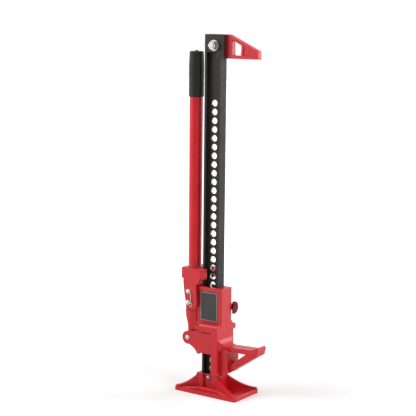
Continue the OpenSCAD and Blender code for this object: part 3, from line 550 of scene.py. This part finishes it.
def ring_faces(rows, columns, wrap_rows):
    """Quads between rings of points; each ring closes on itself.

    With wrap_rows the last ring joins the first one again.
    """
    row = np.arange(rows if wrap_rows else rows - 1)[:, None]
    column = np.arange(columns)[None, :]
    after = (column + 1) % columns
    below = (row + 1) % rows
    quads = np.stack([row * columns + column, row * columns + after,
                      below * columns + after, below * columns + column], axis=-1)
    return quads.reshape(-1, 4).tolist()


def capped(rings):
    """Points and faces of a stack of rings, closed by a fan of triangles at each end.

    The middle of a fan is the mean of its ring's points.
    """
    rows, columns, _ = rings.shape
    points = np.concatenate([rings.reshape(-1, 3), rings[0].mean(0)[None],
                             rings[-1].mean(0)[None]])
    column = np.arange(columns)
    after = (column + 1) % columns
    first_middle = np.full(columns, rows * columns)
    last_middle = first_middle + 1
    end = (rows - 1) * columns
    first_fan = np.stack([after, column, first_middle], axis=1).tolist()
    last_fan = np.stack([end + column, end + after, last_middle], axis=1).tolist()
    return points, ring_faces(rows, columns, False) + first_fan + last_fan


def rounded_rectangle(width, height, corner):
    """Points round a rectangle whose corners are quarter circles, in X and Z."""
    turn = np.linspace(0, QUARTER_TURN, CORNER_POINTS)
    reach = [width / 2 - corner, height / 2 - corner]
    centres = np.array([[1, 1], [-1, 1], [-1, -1], [1, -1]]) * reach
    corners = [centre + corner * np.stack([np.cos(turn + k * QUARTER_TURN),
                                           np.sin(turn + k * QUARTER_TURN)], axis=1)
               for k, centre in enumerate(centres)]
    return np.concatenate(corners)


def stood_up(outline, centre, depth):
    """An X-Z outline as points in space at a depth along Y."""
    return np.stack([outline[:, 0] + centre[0], np.full(len(outline), depth),
                     outline[:, 1] + centre[2]], axis=1)


def plate_place():
    """The centre of the runner's recess floor, on its near side."""
    size = sizes()
    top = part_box("large_runner")[1][2]
    return (size.plate_x, -size.plate_floor, top - size.plate_drop)


def make_plate(material):
    """A bare plate: rounded rectangles stacked along Y, the last one drawn in.

    They stand at its back, at the foot of its edge's bevel and at its face.
    """
    size = sizes()
    centre = plate_place()
    bevel = size.plate_thick / 3
    steps = ((0.0, 0.0), (0.0, size.plate_thick - bevel), (bevel, size.plate_thick))
    rings = np.stack([stood_up(rounded_rectangle(size.plate_width - 2 * inset,
                                                 size.plate_height - 2 * inset,
                                                 size.plate_round - inset),
                               centre, centre[1] - rise) for inset, rise in steps])
    points, faces = capped(rings)
    add_piece("name_plate", points, faces, "runner", material)


def make_bead(material):
    """A low bead round the plate's face: an oval section carried round a rectangle.

    At each angle of the section the rectangle grows by the cosine of the angle and
    stands off the face by half of its sine, both times the bead's radius.
    """
    size = sizes()
    centre = plate_place()
    width = size.plate_width - 2 * size.bead_inset
    height = size.plate_height - 2 * size.bead_inset
    loops = []
    for turn in circle(BEAD_SIDES):
        growth = 2 * size.bead_radius * math.cos(turn)
        rise = size.bead_radius * math.sin(turn) / 2
        outline = rounded_rectangle(width + growth, height + growth,
                                    size.plate_round / 2)
        loops.append(stood_up(outline, centre, centre[1] - size.plate_thick - rise))
    faces = ring_faces(BEAD_SIDES, len(outline), True)
    add_piece("plate_bead", np.stack(loops), faces, "runner", material)


def make_thread(name, node, start, end, body, material):
    """A sleeve along Y whose radius rises and falls once for each pitch and each turn.

    It lies round the middle of a nut, from start to end.
    """
    size = sizes()
    low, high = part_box(node)
    centre = ((low[0] + high[0]) / 2, (low[2] + high[2]) / 2)
    rows = max(ROWS_A_PITCH,
               int(round((end - start) / size.thread_pitch * ROWS_A_PITCH)))
    along = np.linspace(start, end, rows)[:, None]
    turn = circle(THREAD_SIDES)[None, :]
    wave = np.abs(((along / size.thread_pitch - turn / FULL_TURN) % 1) * 2 - 1)
    reach = SHANK_RADIUS + size.thread_depth * wave
    rings = np.stack([centre[0] + reach * np.cos(turn), along + 0 * turn,
                      centre[1] - reach * np.sin(turn)], axis=-1)
    points, faces = capped(rings)
    add_piece(name, points, faces, body, material)


def make_spring(node, body, material):
    """A round wire on a helix: X and Z go round once a curl while Y climbs evenly.

    Round each point of the helix the wire's section is a circle between the outward
    direction and Y. It takes the place of the CAD node and fills its box.
    """
    size = sizes()
    low, high = (np.array(corner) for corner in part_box(node))
    middle = (low + high) / 2
    wire = size.spring_wire / 2
    reach = (high[0] - low[0]) / 2 - wire
    share = np.linspace(0, 1, CURL_STEPS * size.spring_curls + 1)
    angle = FULL_TURN * size.spring_curls * share
    outward = np.stack([np.cos(angle), 0 * angle, np.sin(angle)], axis=1)
    along = np.array([0.0, 1.0, 0.0])
    path = middle + reach * outward
    path[:, 1] = low[1] + wire + (high[1] - low[1] - 2 * wire) * share
    turn = circle(WIRE_SIDES)[None, :, None]
    rings = path[:, None, :] + wire * (np.cos(turn) * outward[:, None, :]
                                       + np.sin(turn) * along)
    points, faces = capped(rings)
    spring = add_piece(node + "_wire", points, faces, body, material)
    spring.data.shade_smooth()
    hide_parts(node)
    return spring


# ---- one operator for each piece or group of like pieces

class JACK_OT_castings(bpy.types.Operator):
    """Paint the base, the runners, the socket, the pitman and the jaw"""
    bl_idname = "jack.castings"
    bl_label = "Castings"

    def execute(self, context):
        look = finish()
        paint = painted("red_over_iron", look.casting_red[:], look.casting_grain,
                        shine=0.34)
        dress("casting_red", paint, sizes().casting_edge)
        return {"FINISHED"}


class JACK_OT_handle(bpy.types.Operator):
    """Coat the handle tube and its grip"""
    bl_idname = "jack.handle"
    bl_label = "Handle"

    def execute(self, context):
        look = finish()
        dress("tube_red", painted("red_powder_coat", look.tube_red[:], grain=2 * MM,
                                  rough=0.36, coat=0.05, relief=0.008 * MM, even=True))
        dress("grip_black", vinyl("dipped_grip", look.grip_black[:]))
        return {"FINISHED"}


class JACK_OT_rack(bpy.types.Operator):
    """Paint the rack and the saddle of the top clamp"""
    bl_idname = "jack.rack"
    bl_label = "Rack"

    def execute(self, context):
        dress("rack_black", rack_paint(), sizes().steel_edge)
        return {"FINISHED"}


class JACK_OT_hardware(bpy.types.Operator):
    """Finish the bolts, nuts, washers, pins and cages"""
    bl_idname = "jack.hardware"
    bl_label = "Hardware"

    def execute(self, context):
        look = finish()
        edge = sizes().steel_edge
        clamp_shade_share = 0.78
        marks_round_pin = (1, 6, 1)
        dress("zinc", metal("zinc_plate", look.zinc[:], rough=0.30),
              sizes().fastener_edge)
        # Painted shade: the clamp's bolt, nut and washers get a darker copy of the
        # zinc, standing in for the shade on them.
        repaint(("clamp_bolt", "clamp_nut", "clamp_washer_near", "clamp_washer_far"),
                metal("clamp_zinc", shade(look.zinc, clamp_shade_share), rough=0.32))
        # Painted shade: the foot bolt and nut get a darker copy of the zinc for the
        # shade and red reflections by the base.
        repaint(("foot_bolt", "foot_nut"),
                metal("foot_zinc", look.foot_shade_zinc[:], rough=0.36))
        dress("pin_steel", metal("turned_steel", look.pin_steel[:], rough=0.28,
                                 squeeze=marks_round_pin), edge)
        dress("dark_steel", metal("black_oxide", look.dark_steel[:], rough=0.42), edge)
        return {"FINISHED"}


class JACK_OT_springs(bpy.types.Operator):
    """Wind the climbing springs; the upper one gets a mesh of its own"""
    bl_idname = "jack.springs"
    bl_label = "Springs"

    def execute(self, context):
        wire = metal("spring_wire", finish().spring_steel[:], rough=0.30)
        dress("spring_steel", wire)
        make_spring("lower_spring", "step_runner", wire)
        upper = make_spring("upper_spring", "runner", wire)
        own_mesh(upper)
        return {"FINISHED"}


class JACK_OT_latch(bpy.types.Operator):
    """Paint the reversing latch"""
    bl_idname = "jack.latch"
    bl_label = "Reversing latch"

    def execute(self, context):
        # Painted shade: the latch's darker red stands in for the shade on its face.
        paint = painted("dark_red_latch", finish().latch_red[:], grain=2 * MM,
                        rough=0.42, coat=0.0, shine=0.10)
        dress("latch_red", paint, sizes().steel_edge)
        return {"FINISHED"}


class JACK_OT_name_plate(bpy.types.Operator):
    """Set a bare name plate into the runner's recess"""
    bl_idname = "jack.name_plate"
    bl_label = "Name plate"

    def execute(self, context):
        look = finish()
        make_plate(painted("bare_plate", look.plate_grey[:], grain=1 * MM, coat=0.2,
                           relief=0.01 * MM))
        make_bead(metal("plate_bead_metal", look.bead_metal[:], rough=0.35))
        return {"FINISHED"}


class JACK_OT_threads(bpy.types.Operator):
    """Cut threads on the ends of the bolts that stand out of their nuts"""
    bl_idname = "jack.threads"
    bl_label = "Threads"

    def execute(self, context):
        steel = metal("thread_zinc", finish().zinc[:], rough=0.34)
        for bolt, nut, body in (("foot_bolt", "foot_nut", "rack"),
                                ("shear_bolt", "shear_nut", "handle")):
            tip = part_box(bolt)[1][1]
            make_thread(bolt + "_thread", nut, tip - THREAD_LENGTH - THREAD_SET_BACK,
                        tip - THREAD_SET_BACK, body, steel)
        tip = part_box("clamp_bolt")[0][1]
        make_thread("clamp_bolt_thread", "clamp_nut", tip + THREAD_SET_BACK,
                    tip + THREAD_LENGTH + THREAD_SET_BACK, "rack", steel)
        return {"FINISHED"}


# ---- the stage

def aimed(place, target):
    """A lamp's place and turn so that it faces the target."""
    turn = (Vector(target) - Vector(place)).to_track_quat("-Z", "Y")
    return Matrix.Translation(place) @ turn.to_matrix().to_4x4()


def add_lamp(name, place, width, power):
    """A square lamp that faces the middle of the jack."""
    lamp = bpy.data.lights.new(name, "AREA")
    lamp.energy = power
    lamp.shape = "SQUARE"
    lamp.size = width
    holder = bpy.data.objects.new(name, lamp)
    holder.matrix_world = aimed(place, LAMP_TARGET)
    bpy.context.scene.collection.objects.link(holder)


def seen_directly(tree):
    """1 for rays from the camera, off gloss and through glass, else 0."""
    path = tree.nodes.new("ShaderNodeLightPath")
    total = path.outputs["Is Camera Ray"]
    for ray in ("Is Glossy Ray", "Is Transmission Ray"):
        both = tree.nodes.new("ShaderNodeMath")
        both.operation = "MAXIMUM"
        tree.links.new(total, both.inputs[0])
        tree.links.new(path.outputs[ray], both.inputs[1])
        total = both.outputs[0]
    return total


def make_world(ambient):
    """Even light all round, and plain white where it is looked at."""
    world = bpy.data.worlds.new("studio")
    world.use_nodes = True
    bpy.context.scene.world = world
    tree = world.node_tree
    tree.nodes.clear()
    mix = tree.nodes.new("ShaderNodeMixShader")
    tree.links.new(seen_directly(tree), mix.inputs["Fac"])
    lighting, seen = 1, 2
    for socket, strength in ((lighting, ambient), (seen, 1.0)):
        light = tree.nodes.new("ShaderNodeBackground")
        light.inputs["Color"].default_value = WHITE
        light.inputs["Strength"].default_value = strength
        tree.links.new(light.outputs["Background"], mix.inputs[socket])
    out = tree.nodes.new("ShaderNodeOutputWorld")
    tree.links.new(mix.outputs["Shader"], out.inputs["Surface"])


def make_floor(lift):
    """A pale floor that shows the jack's shadow and, farther out, is white as seen.

    It glows by lift near the jack and by 1 beyond GLOW_FULL, but only to the camera, in
    gloss and through glass, so the glow adds no light.
    """
    corners = [(x * FLOOR_HALF, y * FLOOR_HALF, 0)
               for x, y in ((-1, -1), (1, -1), (1, 1), (-1, 1))]
    mesh = bpy.data.meshes.new("floor")
    mesh.from_pydata(corners, [], [(0, 1, 2, 3)])
    floor = bpy.data.objects.new("floor", mesh)
    bpy.context.scene.collection.objects.link(floor)
    material = bpy.data.materials.new("floor_white")
    material.use_nodes = True
    tree = material.node_tree
    shader = tree.nodes["Principled BSDF"]
    shader.inputs["Base Color"].default_value = (FLOOR_TONE, FLOOR_TONE, FLOOR_TONE, 1)
    shader.inputs["Roughness"].default_value = FLOOR_ROUGHNESS
    shader.inputs["Emission Color"].default_value = WHITE
    place = tree.nodes.new("ShaderNodeTexCoord")
    reach = tree.nodes.new("ShaderNodeVectorMath")
    reach.operation = "LENGTH"
    fade = tree.nodes.new("ShaderNodeMapRange")
    fade.inputs["From Min"].default_value = GLOW_FROM
    fade.inputs["From Max"].default_value = GLOW_FULL
    fade.inputs["To Min"].default_value = lift
    fade.inputs["To Max"].default_value = 1.0
    glow = tree.nodes.new("ShaderNodeMath")
    glow.operation = "MULTIPLY"
    tree.links.new(place.outputs["Object"], reach.inputs[0])
    tree.links.new(reach.outputs["Value"], fade.inputs["Value"])
    tree.links.new(seen_directly(tree), glow.inputs[0])
    tree.links.new(fade.outputs["Result"], glow.inputs[1])
    tree.links.new(glow.outputs[0], shader.inputs["Emission Strength"])
    mesh.materials.append(material)


def make_camera(settings):
    """Stands the camera on its azimuth and turns it by yaw, pitch and roll."""
    heading = settings.azimuth + settings.yaw
    forward = Vector((-math.sin(heading) * math.cos(settings.pitch),
                      math.cos(heading) * math.cos(settings.pitch),
                      -math.sin(settings.pitch)))
    level = Vector((math.cos(heading), math.sin(heading), 0))
    raised = level.cross(forward)
    right = level * math.cos(settings.roll) + raised * math.sin(settings.roll)
    up = raised * math.cos(settings.roll) - level * math.sin(settings.roll)
    data = bpy.data.cameras.new("camera")
    data.lens = settings.lens
    data.sensor_width = SENSOR_MM
    camera = bpy.data.objects.new("camera", data)
    turn = Matrix((right, up, -forward)).transposed().to_4x4()
    place = Vector((settings.distance * math.sin(settings.azimuth),
                    -settings.distance * math.cos(settings.azimuth), settings.height))
    camera.matrix_world = Matrix.Translation(place) @ turn
    bpy.context.scene.collection.objects.link(camera)
    bpy.context.scene.camera = camera


class JACK_OT_stage(bpy.types.Operator):
    """Set up the floor, the lamps, the world and the camera"""
    bl_idname = "jack.stage"
    bl_label = "Stage"

    def execute(self, context):
        settings = context.scene.jack_stage
        context.scene.view_settings.view_transform = "Standard"
        for name, place, width in LAMPS:
            add_lamp(name, place, width, getattr(settings, name + "_power"))
        make_world(settings.ambient)
        make_floor(settings.floor_lift)
        make_camera(settings)
        return {"FINISHED"}


# ---- the panel, and how the operators are registered and run

class JACK_PT_panel(bpy.types.Panel):
    """Lists the pieces of the jack and their settings"""
    bl_idname = "JACK_PT_panel"
    bl_label = "High lift jack"
    bl_space_type = "VIEW_3D"
    bl_region_type = "UI"
    bl_category = "Jack"

    def draw(self, context):
        for step in STEPS:
            self.layout.operator(step.bl_idname)
        for holder, kind in GROUPS.items():
            box = self.layout.box()
            for name in kind.__annotations__:
                box.prop(getattr(context.scene, holder), name)


STEPS = (JACK_OT_castings, JACK_OT_handle, JACK_OT_rack, JACK_OT_hardware,
         JACK_OT_springs, JACK_OT_latch, JACK_OT_name_plate, JACK_OT_threads,
         JACK_OT_stage)
GROUPS = {"jack_finish": JackFinish, "jack_sizes": JackSizes, "jack_stage": JackStage}


def register():
    """Registers the classes and gives the scene its three groups of settings."""
    for kind in (*GROUPS.values(), *STEPS, JACK_PT_panel):
        bpy.utils.register_class(kind)
    for name, kind in GROUPS.items():
        setattr(bpy.types.Scene, name, PointerProperty(type=kind))


def unregister():
    """Takes the settings and the classes away again."""
    for name in GROUPS:
        delattr(bpy.types.Scene, name)
    for kind in (JACK_PT_panel, *reversed(STEPS), *reversed(GROUPS.values())):
        bpy.utils.unregister_class(kind)


def main():
    """Dresses the frame and sets the stage."""
    register()
    for step in STEPS:
        group, name = step.bl_idname.split(".")
        getattr(getattr(bpy.ops, group), name)()


if __name__ == "__main__":
    main()
